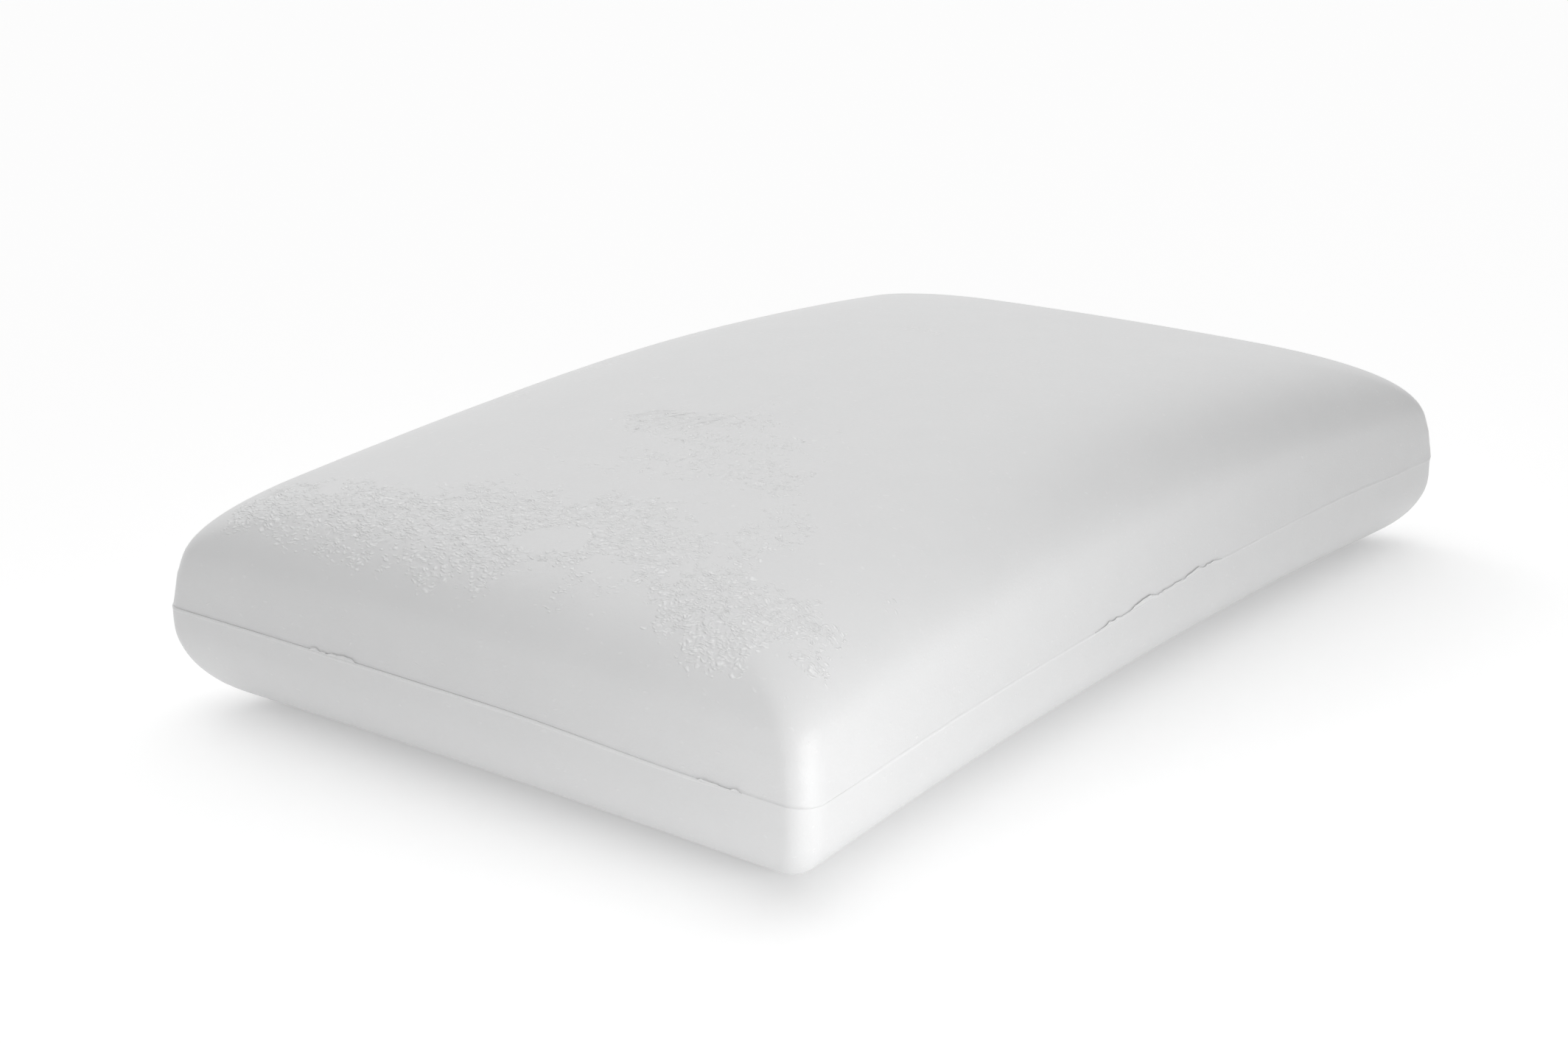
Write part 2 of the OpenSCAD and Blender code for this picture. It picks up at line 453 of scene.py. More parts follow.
def wrinkle_mask(points):
    """How strongly each point of the upper skin is wrinkled, from 0 to 1."""
    plan = points[:, :2] / MM
    ragged = layered(points, 16 * MM, 11, 4) - 0.5
    gaps = layered(points, 34 * MM, 21, 3) - 0.5
    band = ease(-0.2, 0.5, in_band(plan) + 1.6 * ragged)
    swirl = ease(-0.15, 0.35, in_patch(plan, SWIRL) + 1.1 * ragged)
    mask = np.maximum(band, swirl)
    for patch in (CENTRE, FAR_STREAK, BACK_SPOT):
        broken = ease(-0.1, 0.9, in_patch(plan, patch) + 1.5 * ragged + 2.4 * gaps)
        mask = np.maximum(mask, patch[5] * broken)
    bare = ease(-0.15, 0.15, in_patch(plan, BARE_SPOT) + 1.0 * ragged)
    low_edge = ease(88 * MM, 100 * MM, points[:, 2])
    return mask * (1 - bare) * low_edge


def swirl_share(points):
    """How far the swirl's ridges take over from the grains."""
    return ease(-0.15, 0.3, in_patch(points[:, :2] / MM, SWIRL))


def wrinkles(points, mask):
    """The wrinkles' height from 0 to 1: short grains, and curved ridges round the swirl's eye."""
    warp = np.stack([noise(points, 5 * MM, 41 + i) for i in range(3)], axis=1) - 0.5
    bent = (points + WRINKLE_BEND * warp) * np.array(WRINKLE_STRETCH)
    grain = grains(bent, WRINKLE_SIZE, 51, mask)
    plan = points[:, :2] / MM
    far = np.hypot(plan[:, 0] - SWIRL_EYE[0], plan[:, 1] - SWIRL_EYE[1])
    sway = 3.4 * layered(points, 9 * MM, 61, 2)
    ridge = 0.5 + 0.5 * np.sin(2 * math.pi * (far / RIDGE_STEP + sway))
    broken = 0.35 + 0.65 * noise(points, 3.2 * MM, 71)
    share = swirl_share(points)
    return grain * (1 - 0.7 * share) + mask * ridge * broken * share


def single_bumps(points):
    """A few separate small bumps below the band."""
    plan = points[:, :2] / MM
    near = ease(-0.2, 0.5, in_patch(plan, BUMP_PATCH))
    chosen = noise(points, 7 * MM, 81) > 0.66
    return grains(points, 3.4 * MM, 82) * near * chosen


def unevenness(points):
    """The slow waviness of a hand-demoulded block, and faint dimples by the -X, -Y corner."""
    slow = layered(points, 120 * MM, 91, 2) - 0.5
    corner = np.linalg.norm(points - np.array([-HALF_L, -HALF_W, DIMPLE_Z]), axis=1)
    dimple = 1 - ease(15 * MM, 60 * MM, corner)
    return UNEVEN_H * slow - DIMPLE_H * dimple * layered(points, 9 * MM, 95, 2)


def parting_wear(points):
    """Small nicks and waviness along the parting line."""
    near = 1 - ease(0.3 * MM, 5 * MM, np.abs(points[:, 2] - SEAM_TOP))
    return near * WEAR_H * (layered(points, 4 * MM, 101, 3) - 0.5)


# ---------------------------------------------------------------- meshes

def steps(start, end, size):
    """Evenly spaced values from start up to, and without, end."""
    count = max(1, round(abs(end - start) / size))
    return list(np.linspace(start, end, count, endpoint=False))


def spaced(*spans):
    """Values from 0 on: each span is where it ends and about how far apart its values are."""
    values, start = [], 0
    for end, size in spans:
        values += steps(start, end, size)
        start = end
    return values + [start]


def stations(left_end, right_end, side, corner=1.6 * MM):
    """Where the mesh lines cross the outline, as u values, finest round the corners."""
    quarter = HALF_L + HALF_W
    turn_from, turn_to = 0.565, 0.665

    def quarter_steps(end):
        sizes = (side / quarter, corner / quarter, end / quarter)
        return np.array(spaced(*zip((turn_from, turn_to, 1.0), sizes)))

    right, left = quarter_steps(right_end), quarter_steps(left_end)
    parts = [1 - right[::-1], 1 + left, 2 + (1 - left[::-1]), 3 + right]
    return np.concatenate([part[:-1] for part in parts])


def band_faces(a, b, count):
    """Quads between the closed ring of points that starts at a and the one that starts at b."""
    return [(a + i, a + (i + 1) % count, b + (i + 1) % count, b + i) for i in range(count)]


def grid_faces(rings, count):
    """Quads between neighbouring rings, and a strip across the open middle of the first and last."""
    faces = []
    for ring in range(rings - 1):
        faces += band_faces(ring * count, (ring + 1) * count, count)
    for ring, flip in ((0, True), (rings - 1, False)):
        base, half = ring * count, count // 2
        last = base + count
        strip = [(base, base + 1, last - 1)]
        strip += [(base + i, base + i + 1, last - i - 1, last - i) for i in range(1, half - 1)]
        strip += [(base + half - 1, base + half, base + half + 1)]
        faces += [f[::-1] for f in strip] if flip else strip
    return faces


def grid(rings, across):
    """The u and v of each crossing of the rings and the stations, and the faces between them."""
    u, v = np.tile(across, len(rings)), np.repeat(rings, len(across))
    return u, v, grid_faces(len(rings), len(across))


def refine(u, v, faces, wanted):
    """Halves the faces that wanted(u, v) picks, both ways, and returns the new u, v and faces."""
    bm = bmesh.new()
    verts = [bm.verts.new((a, b, 0)) for a, b in zip(u, v)]
    for f in faces:
        bm.faces.new([verts[i] for i in f])
    bm.faces.ensure_lookup_table()
    centres = np.array([tuple(f.calc_center_median())[:2] for f in bm.faces])
    whole = np.array([max(x.co.x for x in f.verts) - min(x.co.x for x in f.verts) < 1 for f in bm.faces])
    chosen = wanted(centres[:, 0], centres[:, 1]) & whole
    edges = {e for f, c in zip(bm.faces, chosen) if c for e in f.edges}
    bmesh.ops.subdivide_edges(bm, edges=list(edges), cuts=1, use_grid_fill=True)
    bm.verts.index_update()
    new_uv = np.array([tuple(x.co)[:2] for x in bm.verts])
    new_faces = [tuple(x.index for x in f.verts) for f in bm.faces]
    bm.free()
    return new_uv[:, 0], new_uv[:, 1], new_faces


def normals(place, section, u, v):
    """Unit normals of the smooth surface, pointing out of the foam."""
    du, dv = 0.4e-3, 0.15 * MM
    inset_a, up_a = section.at(v - dv)
    inset_b, up_b = section.at(v + dv)
    inset, up = section.at(v)
    along_u = place(np.minimum(u + du, 4 - 1e-9), inset, up) - place(np.maximum(u - du, 0), inset, up)
    along_v = place(u, inset_b, up_b) - place(u, inset_a, up_a)
    n = np.cross(along_u, along_v)
    return n / np.maximum(np.linalg.norm(n, axis=1), 1e-12)[:, None]


def look_out(mesh):
    """Turns the faces of a closed mesh so that their normals point out of it."""
    bm = bmesh.new()
    bm.from_mesh(mesh)
    if bm.calc_volume(signed=True) < 0:
        mesh.flip_normals()
    bm.free()


def make_object(name, points, faces, material, slot, body, node, wrinkled=None):
    """A smooth-shaded piece that rides on a body and stands for its CAD node."""
    mesh = bpy.data.meshes.new(name)
    mesh.from_pydata(points.tolist(), [], faces)
    mesh.update()
    look_out(mesh)
    if wrinkled is not None:
        layer = mesh.attributes.new("wrinkle", "FLOAT", "POINT")
        layer.data.foreach_set("value", wrinkled.astype(np.float32))
    mesh.polygons.foreach_set("use_smooth", [True] * len(mesh.polygons))
    mesh.materials.append(material)
    piece = bpy.data.objects.new(name, mesh)
    bpy.context.scene.collection.objects.link(piece)
    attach(piece, body)
    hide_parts(node)
    return piece


def soft_press(piece):
    """Gives the piece its own copy of its mesh."""
    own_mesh(piece)


# ---------------------------------------------------------------- materials

# The skin is white, mottled between two near tones, with a painted highlight that lightens the grains where
# it is wrinkled
SKIN_SHADE = (0.738, 0.74, 0.742)
SKIN_LIGHT = (0.75, 0.751, 0.753)
# The painted highlight on the grains' tips: its colour, and how far the tips are lightened towards it
GRAIN_HIGHLIGHT = (0.98, 0.981, 0.983)
GRAIN_HIGHLIGHT_SHARE = 0.76
GRAIN_BUMP = 0.43 * MM
GRAIN_BEND = 6 * MM
# Grains in a metre, how they are packed along each axis (they are long along Y), and the bends
# in a metre of the noise that shifts them
GRAIN_SCALE = 620
GRAIN_STRETCH = (1.1, 0.5, 1.1)
DRIFT_SCALE = 130
# The mottling, the orange peel and the finer peel on top, in features in a metre
MOTTLE_SCALE = 38
PEEL_SCALE = 620
FINE_SCALE = 1500

FLASH_SHADE = (0.74, 0.742, 0.745)
FLASH_LIGHT = (0.83, 0.831, 0.833)
MEMORY_SHADE = (0.74, 0.72, 0.66)
MEMORY_LIGHT = (0.85, 0.83, 0.77)
SUPPORT_SHADE = (0.68, 0.68, 0.66)
SUPPORT_LIGHT = (0.78, 0.78, 0.76)
GLUE_SHADE = (0.72, 0.66, 0.5)
GLUE_LIGHT = (0.86, 0.82, 0.7)

# Foam cells in a metre
MEMORY_CELLS = 420
SUPPORT_CELLS = 300


def node_material(name):
    """A new material with its nodes, its links and its main shader."""
    material = bpy.data.materials.new(name)
    material.use_nodes = True
    nodes, links = material.node_tree.nodes, material.node_tree.links
    return material, nodes, links, nodes["Principled BSDF"]


def noise_node(nodes, links, scale, detail, vector):
    """Fine noise around 0.5, with that many features in a metre."""
    node = nodes.new("ShaderNodeTexNoise")
    node.inputs["Scale"].default_value = scale
    node.inputs["Detail"].default_value = detail
    links.new(vector, node.inputs["Vector"])
    return node.outputs["Fac"]


def mapped(nodes, links, value, low, high, out_low, out_high):
    """The value stretched from one range to another, and kept inside it."""
    node = nodes.new("ShaderNodeMapRange")
    sockets = ("From Min", "From Max", "To Min", "To Max")
    for socket, number in zip(sockets, (low, high, out_low, out_high)):
        node.inputs[socket].default_value = number
    links.new(value, node.inputs["Value"])
    return node.outputs["Result"]


def times(nodes, links, a, b):
    """The product of two values, each a socket or a number."""
    node = nodes.new("ShaderNodeMath")
    node.operation = "MULTIPLY"
    for socket, value in zip(node.inputs, (a, b)):
        if isinstance(value, (int, float)):
            socket.default_value = value
        else:
            links.new(value, socket)
    return node.outputs["Value"]


def bump(nodes, links, height, distance, before=None):
    """A bumpy normal, on top of the one before it."""
    node = nodes.new("ShaderNodeBump")
    node.inputs["Distance"].default_value = distance
    node.inputs["Strength"].default_value = 1
    links.new(height, node.inputs["Height"])
    if before is not None:
        links.new(before, node.inputs["Normal"])
    return node.outputs["Normal"]


def tint(nodes, links, value, low, high):
    """A mix of two colours, each a socket or three numbers: low where the value is 0, high at 1."""
    node = nodes.new("ShaderNodeMix")
    node.data_type = "RGBA"
    factor, colours = node.inputs[0], node.inputs[6:8]
    for socket, colour in zip(colours, (low, high)):
        if isinstance(colour, tuple):
            socket.default_value = (*colour, 1)
        else:
            links.new(colour, socket)
    links.new(value, factor)
    return node.outputs[2]


def skin_grains(nodes, links, place, mask):
    """Fine grains, as many as the mask asks for: 1 on top of each and 0 between them."""
    drift = nodes.new("ShaderNodeTexNoise")
    drift.inputs["Scale"].default_value = DRIFT_SCALE
    drift.inputs["Detail"].default_value = 1
    links.new(place, drift.inputs["Vector"])
    bent = nodes.new("ShaderNodeVectorMath")
    bent.operation = "MULTIPLY_ADD"
    bent.inputs[1].default_value = (GRAIN_BEND,) * 3
    links.new(drift.outputs["Color"], bent.inputs[0])
    links.new(place, bent.inputs[2])
    stretch = nodes.new("ShaderNodeMapping")
    stretch.inputs["Scale"].default_value = GRAIN_STRETCH
    links.new(bent.outputs["Vector"], stretch.inputs["Vector"])
    cells = nodes.new("ShaderNodeTexVoronoi")
    cells.inputs["Scale"].default_value = GRAIN_SCALE
    links.new(stretch.outputs["Vector"], cells.inputs["Vector"])
    lot = nodes.new("ShaderNodeSeparateColor")
    links.new(cells.outputs["Color"], lot.inputs["Color"])
    short = nodes.new("ShaderNodeMath")
    short.operation = "SUBTRACT"
    links.new(times(nodes, links, mask, 1.1), short.inputs[0])
    links.new(lot.outputs["Red"], short.inputs[1])
    there = mapped(nodes, links, short.outputs["Value"], -0.05, 0.1, 0, 1)
    return times(nodes, links, there, mapped(nodes, links, cells.outputs["Distance"], 0.1, 0.6, 1, 0))


def foam_skin(name):
    """Satin white integral skin: fine orange peel, and glossier grains whose tips carry a painted highlight
    where the mesh's wrinkle attribute asks for them. A piece without that attribute has none."""
    material, nodes, links, shader = node_material(name)
    place = nodes.new("ShaderNodeTexCoord").outputs["Object"]
    attribute = nodes.new("ShaderNodeAttribute")
    attribute.attribute_name = "wrinkle"
    mask = attribute.outputs["Fac"]
    mottle = mapped(nodes, links, noise_node(nodes, links, MOTTLE_SCALE, 4, place), 0.3, 0.7, 0, 1)
    plain = tint(nodes, links, mottle, SKIN_SHADE, SKIN_LIGHT)
    grain = skin_grains(nodes, links, place, mask)
    # The grains' tips are lightened towards near-white: a painted highlight
    highlighted = tint(nodes, links, times(nodes, links, grain, GRAIN_HIGHLIGHT_SHARE), plain, GRAIN_HIGHLIGHT)
    links.new(highlighted, shader.inputs["Base Color"])
    peel = noise_node(nodes, links, PEEL_SCALE, 3, place)
    fine = noise_node(nodes, links, FINE_SCALE, 2, place)
    normal = bump(nodes, links, peel, 0.10 * MM)
    normal = bump(nodes, links, fine, 0.05 * MM, before=normal)
    normal = bump(nodes, links, grain, GRAIN_BUMP, before=normal)
    links.new(normal, shader.inputs["Normal"])
    gloss = mapped(nodes, links, peel, 0.35, 0.65, 0.8, 1.0)
    patch = mapped(nodes, links, grain, 0, 1, 0.5, 0.3)
    links.new(times(nodes, links, gloss, patch), shader.inputs["Roughness"])
    shader.inputs["Sheen Weight"].default_value = 0.12
    shader.inputs["Sheen Roughness"].default_value = 0.45
    return material


def cut_foam(name, shade, light, scale):
    """Open-cell foam as cut: round cells, a finer grain and a matt, slightly uneven colour."""
    material, nodes, links, shader = node_material(name)
    place = nodes.new("ShaderNodeTexCoord").outputs["Object"]
    cells = nodes.new("ShaderNodeTexVoronoi")
    cells.inputs["Scale"].default_value = scale
    links.new(place, cells.inputs["Vector"])
    tone = noise_node(nodes, links, 30, 4, place)
    links.new(tint(nodes, links, tone, shade, light), shader.inputs["Base Color"])
    fine = noise_node(nodes, links, scale * 2.5, 2, place)
    normal = bump(nodes, links, cells.outputs["Distance"], 0.5 * MM)
    links.new(bump(nodes, links, fine, 0.12 * MM, before=normal), shader.inputs["Normal"])
    links.new(mapped(nodes, links, cells.outputs["Distance"], 0, 0.7, 0.95, 0.78), shader.inputs["Roughness"])
    shader.inputs["Sheen Weight"].default_value = 0.2
    return material


def bond_glue(name):
    """A thin dried film of foam adhesive, slightly glossy and streaked."""
    material, nodes, links, shader = node_material(name)
    place = nodes.new("ShaderNodeTexCoord").outputs["Object"]
    streak = noise_node(nodes, links, 90, 5, place)
    links.new(tint(nodes, links, streak, GLUE_SHADE, GLUE_LIGHT), shader.inputs["Base Color"])
    links.new(mapped(nodes, links, streak, 0.3, 0.7, 0.3, 0.55), shader.inputs["Roughness"])
    links.new(bump(nodes, links, streak, 0.3 * MM), shader.inputs["Normal"])
    return material


def flash_foam(name):
    """Torn, thin foam left by the mould: matt, with a ragged fine grain."""
    material, nodes, links, shader = node_material(name)
    place = nodes.new("ShaderNodeTexCoord").outputs["Object"]
    grain = noise_node(nodes, links, 900, 4, place)
    links.new(tint(nodes, links, grain, FLASH_SHADE, FLASH_LIGHT), shader.inputs["Base Color"])
    links.new(mapped(nodes, links, grain, 0.3, 0.7, 0.55, 0.75), shader.inputs["Roughness"])
    links.new(bump(nodes, links, grain, 0.2 * MM), shader.inputs["Normal"])
    return material


# ---------------------------------------------------------------- the pieces

def build_upper(material):
    """The upper skin: a shell from its inner crown, down to the lip and up over the outside."""
    outer = upper_profile()
    inner = inside(outer, SKIN_T, floor=-LIP_DROP)
    section = Section(inner[::-1], lip(-LIP_DROP, UPPER_LIP, 1), outer)
    lip_v = section.where(UPPER_LIP, -LIP_DROP)
    wall_v = section.where(outer[0, 0], outer[0, 1])
    inner_v = section.where(*inner[0])
    rings = spaced(
        (inner_v - 6 * MM, 11 * MM),
        (inner_v, 2 * MM),
        (lip_v, 0.8 * MM),
        (wall_v, 0.06 * MM),
        (wall_v + 0.4 * MM, 0.1 * MM),
        (wall_v + 3 * MM, 0.65 * MM),
        (wall_v + 42 * MM, 3.6 * MM),
        (wall_v + 175 * MM, 2.9 * MM),
        (section.length, 5 * MM),
    )
    u, v, faces = grid(rings, stations(left_end=2.9 * MM, right_end=6.5 * MM, side=7 * MM))

    def wrinkled_above(least):
        def wanted(face_u, face_v):
            mask = wrinkle_mask(upper_place(face_u, *section.at(face_v)))
            return (face_v > wall_v + 10 * MM) & (mask > least)
        return wanted

    for least in (0.12, 0.66):
        u, v, faces = refine(u, v, faces, wrinkled_above(least))
    on_lip = v > lip_v - 0.01 * MM
    in_lip = on_lip & (v < wall_v)
    inset, up = section.at(v)
    points = upper_place(u, inset, up)
    points = np.where(in_lip[:, None], upper_place(u, inset * groove_open(points), up), points)
    out = normals(upper_place, section, u, v)
    outside = ease(wall_v - 0.2 * MM, wall_v + 1.2 * MM, v)
    mask = wrinkle_mask(points) * outside
    height = unevenness(points) * outside * ease(0, 20 * MM, points[:, 2] - SEAM_TOP)
    height += WRINKLE_H * ease(0, 0.5, mask) * wrinkles(points, mask)
    height += BUMP_H * single_bumps(points) * outside
    height += parting_wear(points) * outside
    points = flared(points + out * height[:, None], up, on_lip)
    piece = make_object("upper_foam_skin", points, faces, material, "foam_skin", "crown", "upper_skin", mask)
    soft_press(piece)


def build_lower(material):
    """The lower skin: a tray from its inner floor, up to the lip and down round the outside."""
    outer = lower_profile()
    inner = inside(outer, SKIN_T, roof=SEAM_LOW)
    section = Section(inner[::-1], lip(SEAM_LOW, LOWER_LIP, -1), outer)
    lip_v = section.where(LOWER_LIP, SEAM_LOW)
    wall_v = section.where(outer[0, 0], outer[0, 1])
    inner_v = section.where(*inner[0])
    sole_v = section.where(ROUND_W * 0.86, 0)
    rings = spaced(
        (inner_v - 6 * MM, 11 * MM),
        (inner_v, 2 * MM),
        (lip_v, 0.8 * MM),
        (wall_v, 0.2 * MM),
        (wall_v + 3 * MM, 0.6 * MM),
        (sole_v, 2.4 * MM),
        (section.length, 9 * MM),
    )
    u, v, faces = grid(rings, stations(left_end=2.9 * MM, right_end=4.5 * MM, side=4 * MM))
    inset, z = section.at(v)
    in_lip = (v > lip_v - 0.01 * MM) & (v < wall_v)
    points = lower_place(u, inset, z)
    points = np.where(in_lip[:, None], lower_place(u, inset * groove_open(points), z), points)
    out = normals(lower_place, section, u, v)
    outside = ease(wall_v - 0.2 * MM, wall_v + 1.2 * MM, v)
    clear = ease(0, 12 * MM, points[:, 2])
    height = unevenness(points) * 0.7 * outside * clear * ease(0, 15 * MM, SEAM_LOW - points[:, 2])
    height += parting_wear(points) * outside
    points = mould_slip(points + out * height[:, None])
    piece = make_object("lower_foam_skin", points, faces, material, "foam_skin", "base", "lower_skin")


def core_mesh(place, profile, low, high):
    """A foam layer inside the skin: its flat cut face and the rounded outer face."""
    reach = np.linspace(CROWN_REACH * HALF_W, profile[0, 0], 40)
    flat = np.stack([reach, np.full(40, profile[0, 1])], axis=1)
    section = Section(flat, profile)
    rings = spaced((section.where(*profile[0]), 12 * MM), (section.length, 6 * MM))
    u, v, faces = grid(rings, stations(left_end=9 * MM, right_end=9 * MM, side=9 * MM, corner=3 * MM))
    points = place(u, *section.at(v))
    points[:, 2] = np.clip(points[:, 2], low, high)
    return points, faces


def build_comfort(material):
    """The soft memory foam in the upper half, under the skin."""
    profile = inside(upper_profile(600), CORE_DEPTH, floor=0.0)
    mesh = core_mesh(upper_place, profile, COMFORT_LOW.z, COMFORT_HIGH.z)
    piece = make_object("comfort_foam", *mesh, material, "memory_foam", "crown", "comfort_layer")
    soft_press(piece)


def build_support(material):
    """The firmer foam in the lower half."""
    profile = inside(lower_profile(300), CORE_DEPTH, roof=SUPPORT_HIGH.z)
    mesh = core_mesh(lower_place, profile, SUPPORT_LOW.z, SUPPORT_HIGH.z)
    piece = make_object("support_foam_block", *mesh, material, "support_foam", "base", "support_layer")


def build_bond(material):
    """The film of adhesive between the two layers, slightly short of their edges."""
    half = (BOND_HIGH.z - BOND_LOW.z) / 2
    mid = (BOND_HIGH.z + BOND_LOW.z) / 2
    edge = HALF_L - BOND_HIGH.x
    reach = CROWN_REACH * HALF_W
    top = np.stack([np.linspace(edge, reach, 30), np.full(30, half)], axis=1)
    under = np.stack([np.linspace(reach, edge, 30), np.full(30, -half)], axis=1)
    section = Section(under, top)
    rings = spaced((section.length, 12 * MM))
    u, v, faces = grid(rings, stations(left_end=12 * MM, right_end=12 * MM, side=12 * MM, corner=4 * MM))
    inset, z = section.at(v)
    points = lower_place(u, inset, mid + z)
    make_object("bond_sheet", points, faces, material, "foam_bond", "base", "bond_film")


def build_bead(material):
    """The fine ridge that the mould leaves round the lower lip, uneven along its way."""
    across = stations(left_end=1.2 * MM, right_end=1.6 * MM, side=1.5 * MM, corner=0.9 * MM)
    count, turns = len(across), 9
    mid, half_h = (BEAD_HIGH.z + BEAD_LOW.z) / 2, (BEAD_HIGH.z - BEAD_LOW.z) / 2
    rim = lower_place(across, np.zeros(count), np.full(count, mid))
    strength = 0.35 + 0.65 * layered(rim, 14 * MM, 201, 3)
    quiet = np.linalg.norm(rim[:, :2] - np.array([-HALF_L, -HALF_W]), axis=1)
    strength *= 0.25 + 0.75 * ease(10 * MM, 70 * MM, quiet)
    points, faces = [], []
    for k in range(turns):
        angle = math.pi * (k / (turns - 1) - 0.5)
        proud = RIDGE_PROUD * strength * math.cos(angle)
        root = abs(math.cos(angle)) < 1e-6
        inset = np.full(count, 0.7 * MM) if root else 0.12 * MM - proud
        points.append(lower_place(across, inset, np.full(count, mid + half_h * math.sin(angle))))
    points = mould_slip(np.concatenate(points))
    for k in range(turns):
        faces += band_faces(k * count, (k + 1) % turns * count, count)
    make_object("parting_ridge", points, faces, material, "foam_flash", "base", "parting_bead")


def ragged_strip(start, end, face, low, height, seed):
    """A thin torn strip on a wall: points and quads of a closed sheet with a ragged upper edge.
    face(s, out, z) gives the place at distance s along the wall, out from it, at height z."""
    count, rows = int(abs(end - start) / FLASH_STEP) + 1, FLASH_ROWS
    s = np.linspace(start, end, count)
    along = np.stack([s, 0 * s, 0 * s], axis=1)
    fade = ease(0, 0.12, (s - start) / (end - start)) * ease(0, 0.12, (end - s) / (end - start))
    torn = layered(along, 7 * MM, seed, 4)
    tall = height * np.maximum(0.04, fade) * np.clip(0.15 + 1.5 * (torn - 0.25), 0.08, 1)
    front, back = [], []
    for r in range(rows):
        up = r / (rows - 1)
        curl = (0.25 + 0.7 * layered(along, 5 * MM, seed + 7 + r // 2, 2)) * up ** 1.3
        thick = FLASH_T * (1 - 0.75 * up)
        z = low + tall * up
        front.append(face(s, 0.12 * MM + curl * MM * 0.8 + thick, z))
        back.append(face(s, 0.08 * MM + curl * MM * 0.8, z))
    faces, total = [], rows * count
    for r in range(rows - 1):
        for i in range(count - 1):
            a, b = r * count + i, (r + 1) * count + i
            faces.append((a, a + 1, b + 1, b))
            faces.append((total + a, total + b, total + b + 1, total + a + 1))
    for i in range(count - 1):
        a, b = i, (rows - 1) * count + i
        faces.append((a, total + a, total + a + 1, a + 1))
        faces.append((b, b + 1, total + b + 1, total + b))
    for r in range(rows - 1):
        a, b = r * count, (r + 1) * count
        faces.append((a, b, total + b, total + a))
        a, b = a + count - 1, b + count - 1
        faces.append((a, total + a, total + b, b))
    return np.concatenate(front + back), faces


def side_face(s, out, z):
    """Places on the -Y wall, s along X."""
    y = -(HALF_W - WALL_DRAFT * np.maximum(0, z - SEAM_TOP) / WALL_H) - out
    pull = 1 - SIDE_PULL / HALF_W * bulge(s / HALF_L)
    return dipped(np.stack([s, y * pull, np.broadcast_to(z, s.shape)], axis=1))


def end_face(s, out, z):
    """Places on the -X wall, s along Y."""
    x = -(HALF_L - WALL_DRAFT * np.maximum(0, z - SEAM_TOP) / WALL_H) - out - flare(z - SEAM_TOP)
    pull = 1 - END_PULL / HALF_L * bulge(s / HALF_W)
    return dipped(np.stack([x * pull, s, np.broadcast_to(z, s.shape)], axis=1))


def joined(parts):
    """Several (points, faces) lists as one."""
    points, faces, start = [], [], 0
    for p, f in parts:
        points.append(p)
        faces += [tuple(i + start for i in face) for face in f]
        start += len(p)
    return np.concatenate(points), faces


def build_flash(material):
    """The torn flash just above the parting line, on the long -Y side and on the -X end."""
    low = SIDE_LOW.z + 0.2 * MM
    tall = SIDE_HIGH.z - SIDE_LOW.z
    side = ragged_strip(SIDE_LOW.x, SIDE_HIGH.x, side_face, low, tall, 301)
    make_object("side_flash_strip", *side, material, "foam_flash", "base", "side_flash")
    scraps = joined([
        ragged_strip(start * MM, end * MM, end_face, low, share * tall, seed)
        for start, end, share, seed in END_SCRAPS
    ])
    make_object("end_flash_scraps", *scraps, material, "foam_flash", "base", "end_flash")


# ---------------------------------------------------------------- stage, light and camera

# The floor is a square, given by half its side, and the backdrop a wall with many sides round it
FLOOR_HALF = 14.0
FLOOR_COLOUR = (0.93, 0.93, 0.93)
FLOOR_GLOW = 0.2
BACKDROP_R = 12.0
BACKDROP_H = 14.0
BACKDROP_SIDES = 48

# The studio's white surround, as soft lobes of light: direction, sharpness, strength
SURROUND = [
    ((0, 0, 1), 3, 1.3),
    ((0.74, 0.56, 0.37), 3, 1.2),
    ((-0.6, 0.74, 0.3), 3, 0.4),
]

# A weak, soft key light from behind the block, which draws its shadow to the front
KEY_FROM = (0.25, 0.75, 0.6)
KEY_POWER = 0.2
KEY_SPREAD = math.radians(25)

# A soft box near the -X, -Y corner: place, what it faces, width, height, power in watts
CORNER_BOX = ((-0.5, -0.71, 0.14), (-0.27, -0.19, 0.06), 0.55, 0.25, 2.15)

CAMERA_AZIMUTH = math.radians(-52.99)
CAMERA_ELEVATION = math.radians(18.03)
CAMERA_DISTANCE = 1.3319
CAMERA_TARGET = Vector((-0.0298, 0.0383, 0.0533))
CAMERA_ROLL = math.radians(0.15)
CAMERA_LENS = 56.0
CAMERA_SHIFT = 0.0067


def stage_piece(name, points, faces, colour, glow):
    """A matt, glowing piece of the studio, which isn't part of the object."""
    material, _, _, shader = node_material(name)
    shader.inputs["Base Color"].default_value = (*colour, 1)
    shader.inputs["Roughness"].default_value = 0.9
    shader.inputs["Specular IOR Level"].default_value = 0.0
    shader.inputs["Emission Color"].default_value = (1, 1, 1, 1)
    shader.inputs["Emission Strength"].default_value = glow
    mesh = bpy.data.meshes.new(name)
    mesh.from_pydata(points, [], faces)
    mesh.materials.append(material)
    piece = bpy.data.objects.new(name, mesh)
    bpy.context.scene.collection.objects.link(piece)
    return piece


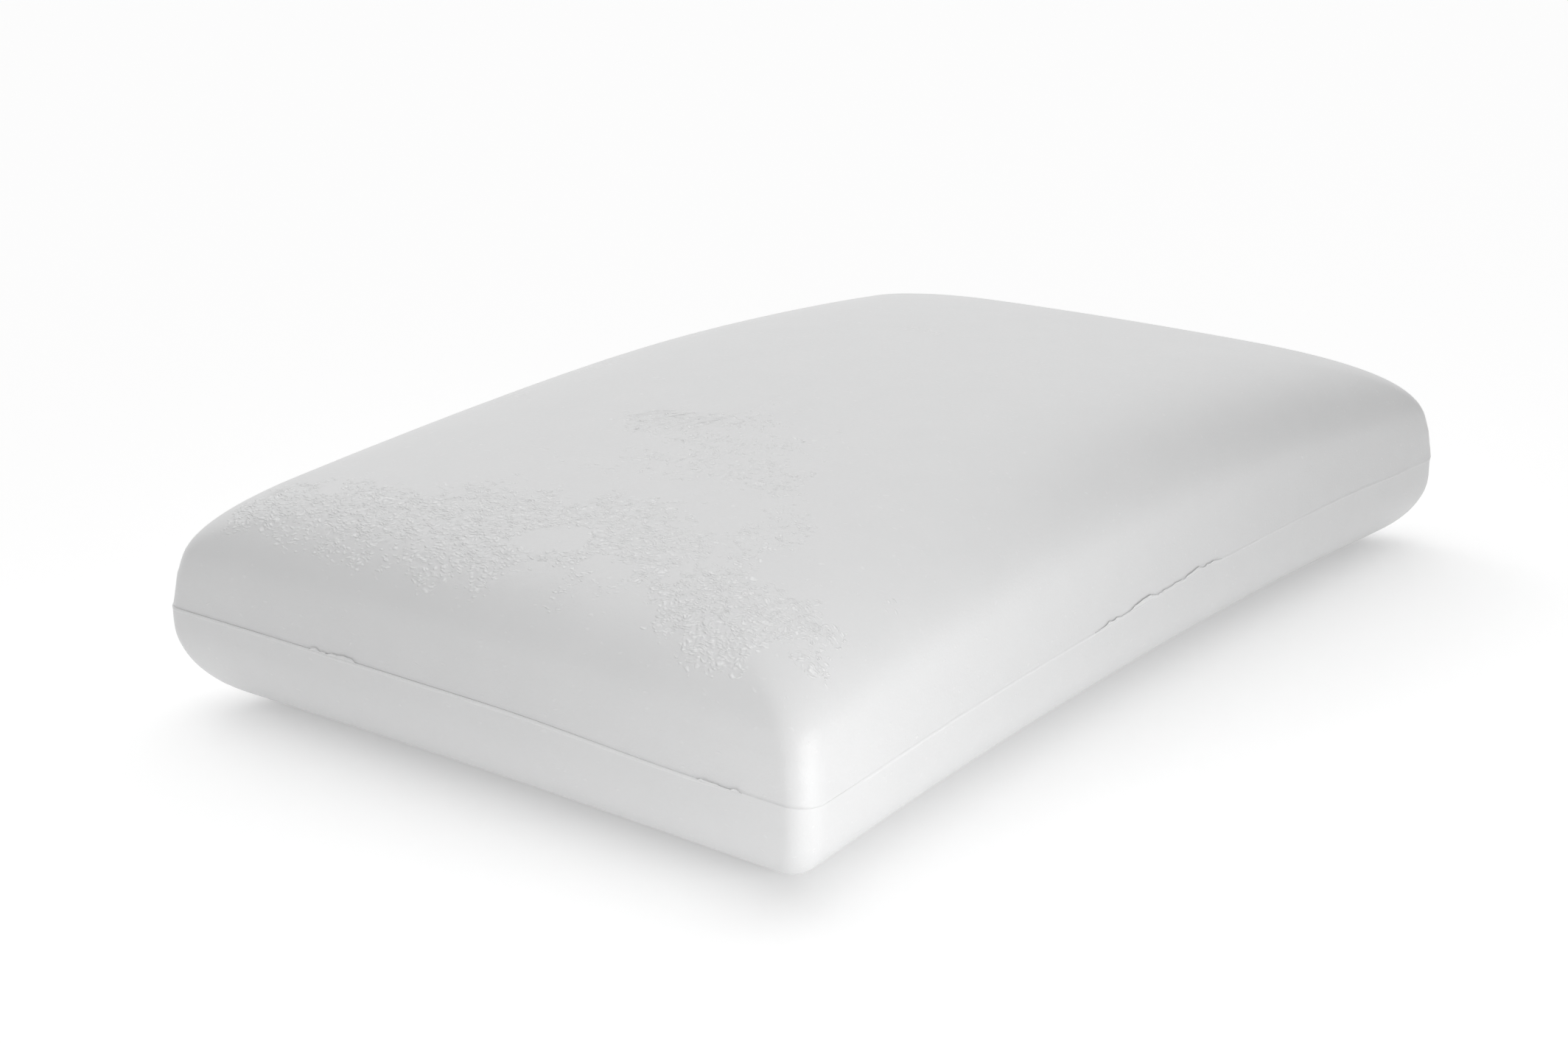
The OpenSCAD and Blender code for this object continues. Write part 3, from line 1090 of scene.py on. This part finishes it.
def build_stage():
    """A plain pale floor, and a white backdrop round it that only the camera sees."""
    half, low, turns = FLOOR_HALF, cad_box[0].z - 0.05 * MM, BACKDROP_SIDES
    corners = [(-half, -half, low), (half, -half, low), (half, half, low), (-half, half, low)]
    stage_piece("floor", corners, [(0, 1, 2, 3)], FLOOR_COLOUR, FLOOR_GLOW)
    angles = [2 * math.pi * i / turns for i in range(turns)]
    ring = [(BACKDROP_R * math.cos(a), BACKDROP_R * math.sin(a)) for a in angles]
    wall = [(x, y, z) for z in (low, BACKDROP_H) for x, y in ring]
    backdrop = stage_piece("backdrop", wall, band_faces(0, turns, turns), (0, 0, 0), 1.0)
    backdrop.visible_diffuse = False
    backdrop.visible_glossy = False
    backdrop.visible_shadow = False
    backdrop.visible_transmission = False
    backdrop.visible_volume_scatter = False


def lobe(nodes, links, way, direction, sharpness, strength):
    """Light that is brightest in one direction and falls off to none at a right angle to it."""
    dot = nodes.new("ShaderNodeVectorMath")
    dot.operation = "DOT_PRODUCT"
    links.new(way, dot.inputs[0])
    dot.inputs[1].default_value = Vector(direction).normalized()
    ahead = nodes.new("ShaderNodeMath")
    ahead.operation = "MAXIMUM"
    links.new(dot.outputs["Value"], ahead.inputs[0])
    ahead.inputs[1].default_value = 0
    power = nodes.new("ShaderNodeMath")
    power.operation = "POWER"
    links.new(ahead.outputs["Value"], power.inputs[0])
    power.inputs[1].default_value = sharpness
    return times(nodes, links, power.outputs["Value"], strength)


def hang(lamp, place, facing):
    """Puts a lamp at a place, facing a direction."""
    light = bpy.data.objects.new(lamp.name, lamp)
    light.location = place
    light.rotation_mode = "QUATERNION"
    light.rotation_quaternion = facing.to_track_quat("-Z", "Y")
    bpy.context.scene.collection.objects.link(light)


def build_surround():
    """The world's light: the sum of the soft lobes."""
    world = bpy.data.worlds.new("studio")
    world.use_nodes = True
    nodes, links = world.node_tree.nodes, world.node_tree.links
    background = nodes["Background"]
    background.inputs["Color"].default_value = (1, 1, 1, 1)
    way = nodes.new("ShaderNodeTexCoord").outputs["Generated"]
    total, *others = [lobe(nodes, links, way, *each) for each in SURROUND]
    for part in others:
        add = nodes.new("ShaderNodeMath")
        links.new(total, add.inputs[0])
        links.new(part, add.inputs[1])
        total = add.outputs["Value"]
    links.new(total, background.inputs["Strength"])
    bpy.context.scene.world = world


def build_lamps():
    """The soft box by the -X, -Y corner and the key light from behind the block."""
    place, aim, width, height, power = CORNER_BOX
    box = bpy.data.lights.new("corner_box", "AREA")
    box.shape = "RECTANGLE"
    box.size, box.size_y, box.energy = width, height, power
    hang(box, Vector(place), Vector(aim) - Vector(place))
    key = bpy.data.lights.new("key_light", "SUN")
    key.energy, key.angle = KEY_POWER, KEY_SPREAD
    hang(key, 2 * Vector(KEY_FROM), -Vector(KEY_FROM))


def build_camera():
    """A camera that looks down on the -X, -Y corner."""
    data = bpy.data.cameras.new("camera")
    data.lens, data.sensor_width = CAMERA_LENS, 36.0
    data.shift_x = CAMERA_SHIFT
    data.clip_start, data.clip_end = 0.05, 60
    flat = math.cos(CAMERA_ELEVATION)
    side, front = math.sin(CAMERA_AZIMUTH) * flat, -math.cos(CAMERA_AZIMUTH) * flat
    back = Vector((side, front, math.sin(CAMERA_ELEVATION)))
    camera = bpy.data.objects.new("camera", data)
    camera.location = CAMERA_TARGET + CAMERA_DISTANCE * back
    camera.rotation_mode = "QUATERNION"
    camera.rotation_quaternion = (-back).to_track_quat("-Z", "Y") @ Quaternion((0, 0, 1), CAMERA_ROLL)
    bpy.context.scene.collection.objects.link(camera)
    bpy.context.scene.camera = camera


# ---------------------------------------------------------------- build

build_camera()
build_stage()
build_surround()
build_lamps()
bpy.context.scene.view_settings.view_transform = "Standard"

skin = foam_skin("foam_skin")
flash = flash_foam("foam_flash")
memory = cut_foam("memory_foam", MEMORY_SHADE, MEMORY_LIGHT, MEMORY_CELLS)
support = cut_foam("support_foam", SUPPORT_SHADE, SUPPORT_LIGHT, SUPPORT_CELLS)
glue = bond_glue("foam_bond")

build_upper(skin)
build_lower(skin)
build_bead(flash)
build_flash(flash)
build_comfort(memory)
build_support(support)
build_bond(glue)
